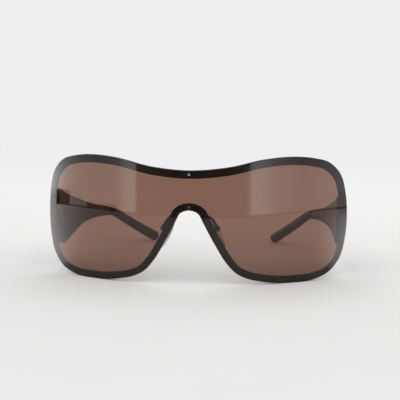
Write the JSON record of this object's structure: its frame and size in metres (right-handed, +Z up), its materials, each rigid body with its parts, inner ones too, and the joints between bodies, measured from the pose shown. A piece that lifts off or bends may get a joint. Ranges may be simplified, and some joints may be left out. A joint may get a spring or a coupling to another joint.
{
  "type": "sunglasses",
  "caption": "Wrap-around shield sunglasses with a tinted lens over a metal rim, wide folding temples with rounded ear tips, and clear rocking nose pads.",
  "frame": {"origin": "middle of the box round the open sunglasses, on the table top they stand on", "axes": "+X to the right as seen from the front, +Y from the lens back to the ear tips, +Z up"},
  "size_m": [0.1456, 0.1316, 0.0591],
  "materials": {
    "brown_lens": "polished",
    "black_lacquered_metal": "gloss",
    "bright_steel": "polished",
    "black_acetate": "gloss",
    "clear_silicone": "satin"
  },
  "bodies": {
    "front": {"shield_lens": "brown_lens", "front_rim": "black_lacquered_metal", "lens_pin_top": "bright_steel", "lens_pin_bridge": "bright_steel", "lens_pin_side_left": "black_lacquered_metal", "end_piece_left": "black_lacquered_metal", "hinge_front_left": "black_lacquered_metal", "hinge_screw_left": "bright_steel", "pad_arm_left": "black_lacquered_metal", "pad_box_left": "black_lacquered_metal", "pad_screw_left": "bright_steel", "lens_pin_side_right": "black_lacquered_metal", "end_piece_right": "black_lacquered_metal", "hinge_front_right": "black_lacquered_metal", "hinge_screw_right": "bright_steel", "pad_arm_right": "black_lacquered_metal", "pad_box_right": "black_lacquered_metal", "pad_screw_right": "bright_steel"},
    "left_temple": {"temple_left": "black_lacquered_metal", "hinge_leaf_left": "black_lacquered_metal", "leaf_rivet_front_left": "black_lacquered_metal", "leaf_rivet_rear_left": "black_lacquered_metal", "ear_tip_left": "black_acetate"},
    "left_pad": {"nose_pad_left": "clear_silicone", "pad_stud_left": "bright_steel"},
    "right_temple": {"temple_right": "black_lacquered_metal", "hinge_leaf_right": "black_lacquered_metal", "leaf_rivet_front_right": "black_lacquered_metal", "leaf_rivet_rear_right": "black_lacquered_metal", "ear_tip_right": "black_acetate"},
    "right_pad": {"nose_pad_right": "clear_silicone", "pad_stud_right": "bright_steel"}
  },
  "joints": [
    {"name": "left_temple_fold", "type": "hinge", "parent": "front", "child": "left_temple", "pos_m": [-0.06811, -0.02576, 0.026], "axis": [0, 0, -1], "range_deg": [0, 90]},
    {"name": "right_temple_fold", "type": "hinge", "parent": "front", "child": "right_temple", "pos_m": [0.06811, -0.02576, 0.026], "axis": [0, 0, 1], "range_deg": [0, 84]},
    {"name": "left_pad_rock", "type": "hinge", "parent": "front", "child": "left_pad", "pos_m": [-0.01228, -0.05881, 0.0258], "axis": [-0.3942, 0.8926, 0.2185], "range_deg": [-9, 9]},
    {"name": "right_pad_rock", "type": "hinge", "parent": "front", "child": "right_pad", "pos_m": [0.01228, -0.05881, 0.0258], "axis": [0.3942, 0.8926, 0.2185], "range_deg": [-9, 9]}
  ]
}
